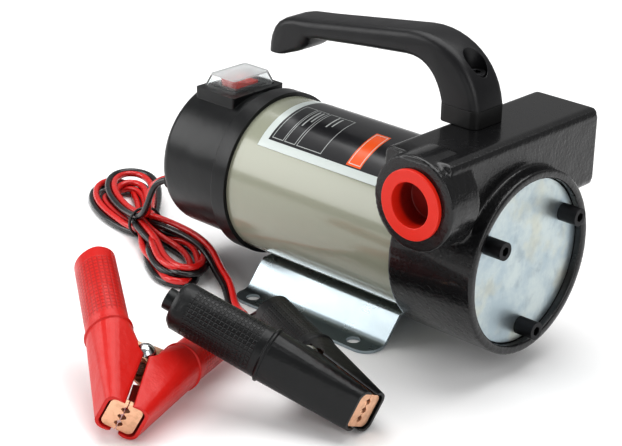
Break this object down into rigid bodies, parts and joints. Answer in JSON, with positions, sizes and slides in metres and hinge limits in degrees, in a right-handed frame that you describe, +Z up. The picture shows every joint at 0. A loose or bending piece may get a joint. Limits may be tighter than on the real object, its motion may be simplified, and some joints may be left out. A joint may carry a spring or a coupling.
{
  "type": "fluid transfer pump",
  "caption": "Self-priming vane pump for diesel fuel with a 12 V motor, carrying handle, base bracket, rocker switch and a battery cord ending in spring clips.",
  "frame": {"origin": "centre of the four base holes, on the plane the bracket stands on", "axes": "+X along the motor axis towards the pump head, +Y towards the far port, +Z up"},
  "size_m": [0.318, 0.2412, 0.1522],
  "materials": {
    "housing_paint": "glossy black paint over a rough casting",
    "zinc_plate": "mottled zinc",
    "seal_rubber": "matt",
    "black_steel": "blackened",
    "bright_steel": "turned",
    "tube_paint": "pale greenish grey gloss",
    "ferrite": "dull",
    "die_cast": "as cast",
    "bakelite": "moulded",
    "carbon": "pressed carbon",
    "spring_steel": "drawn wire",
    "label": "printed film",
    "core_steel": "laminated",
    "copper_wire": "enamelled copper",
    "brass_parts": "turned",
    "cap_plastic": "satin black",
    "switch_plastic": "satin",
    "rocker_red": "gloss",
    "clear_boot": "clear soft vinyl",
    "galvanised": "galvanised sheet",
    "handle_plastic": "satin black",
    "handle_base_plastic": "satin black",
    "plug_red": "moulded",
    "gland_rubber": "matt",
    "cord_red": "smooth",
    "cord_black": "smooth",
    "tie_plastic": "matt",
    "clip_red": "soft vinyl",
    "clip_black": "soft vinyl",
    "jaw_copper": "copper plated",
    "rivet_steel": "bright"
  },
  "bodies": {
    "pump": {"pump_housing": "housing_paint", "cover_plate": "zinc_plate", "cover_seal": "seal_rubber", "cover_screws": "black_steel", "shaft_seal": "seal_rubber", "front_bearing": "bright_steel", "rear_bearing": "bright_steel", "motor_tube": "tube_paint", "magnet_left": "ferrite", "magnet_right": "ferrite", "rear_bell": "die_cast", "brush_holder": "bakelite", "brush_left": "carbon", "brush_right": "carbon", "brush_spring_left": "spring_steel", "brush_spring_right": "spring_steel", "tie_bolts": "bright_steel", "label_plate": "label", "relief_seat": "brass_parts", "relief_spring": "spring_steel", "rear_cap": "cap_plastic", "cap_screws": "bright_steel", "switch_body": "switch_plastic", "switch_boot": "clear_boot", "base_bracket": "galvanised", "handle": "handle_plastic", "handle_base": "handle_base_plastic", "handle_bolt": "black_steel", "cable_gland": "gland_rubber", "power_cord": "cord_red", "cord_hank": "cord_red", "cord_tie": "tie_plastic", "cord_tail": "cord_red", "red_lead": "cord_red", "black_lead": "cord_black", "red_boot_fixed": "clip_red", "red_jaw_fixed": "jaw_copper", "red_rivet": "rivet_steel", "red_clip_spring": "spring_steel", "black_boot_fixed": "clip_black", "black_jaw_fixed": "jaw_copper", "black_rivet": "rivet_steel", "black_clip_spring": "spring_steel"},
    "rotor": {"motor_shaft": "bright_steel", "armature_core": "core_steel", "armature_winding": "copper_wire", "commutator": "copper_wire", "pump_rotor": "core_steel", "vanes": "carbon"},
    "rocker": {"switch_rocker": "rocker_red"},
    "relief_valve": {"relief_poppet": "brass_parts"},
    "near_plug": {"near_port_plug": "plug_red"},
    "far_plug": {"far_port_plug": "plug_red"},
    "red_clip_arm": {"red_boot_moving": "clip_red", "red_jaw_moving": "jaw_copper"},
    "black_clip_arm": {"black_boot_moving": "clip_black", "black_jaw_moving": "jaw_copper"}
  },
  "joints": [
    {"name": "rotor_spin", "type": "hinge", "parent": "pump", "child": "rotor", "pos_m": [0, 0, 0.055], "axis": [1, 0, 0], "continuous": true},
    {"name": "rocker_tilt", "type": "hinge", "parent": "pump", "child": "rocker", "pos_m": [-0.078, 0, 0.0931], "axis": [1, 0, 0], "range_deg": [0, 18]},
    {"name": "relief_lift", "type": "slide", "parent": "pump", "child": "relief_valve", "axis": [0, 0, 1], "range_m": [0, 0.003], "stiffness_N_per_m": 1500, "springref_m": -0.004, "deforming": ["relief_spring"]},
    {"name": "near_plug_pull", "type": "slide", "parent": "pump", "child": "near_plug", "axis": [0, -1, 0], "range_m": [0, 0.03]},
    {"name": "far_plug_pull", "type": "slide", "parent": "pump", "child": "far_plug", "axis": [0, 1, 0], "range_m": [0, 0.03]},
    {"name": "red_clip_open", "type": "hinge", "parent": "pump", "child": "red_clip_arm", "pos_m": [0.0065, -0.1455, 0.02], "axis": [-0.4663, -0.0984, -0.8792], "range_deg": [0, 18], "stiffness_Nm_per_rad": 2, "springref_deg": -20.05},
    {"name": "black_clip_open", "type": "hinge", "parent": "pump", "child": "black_clip_arm", "pos_m": [0.0602, -0.0981, 0.0203], "axis": [-0.1958, -0.4193, -0.8865], "range_deg": [0, 18], "stiffness_Nm_per_rad": 2, "springref_deg": -20.05}
  ]
}
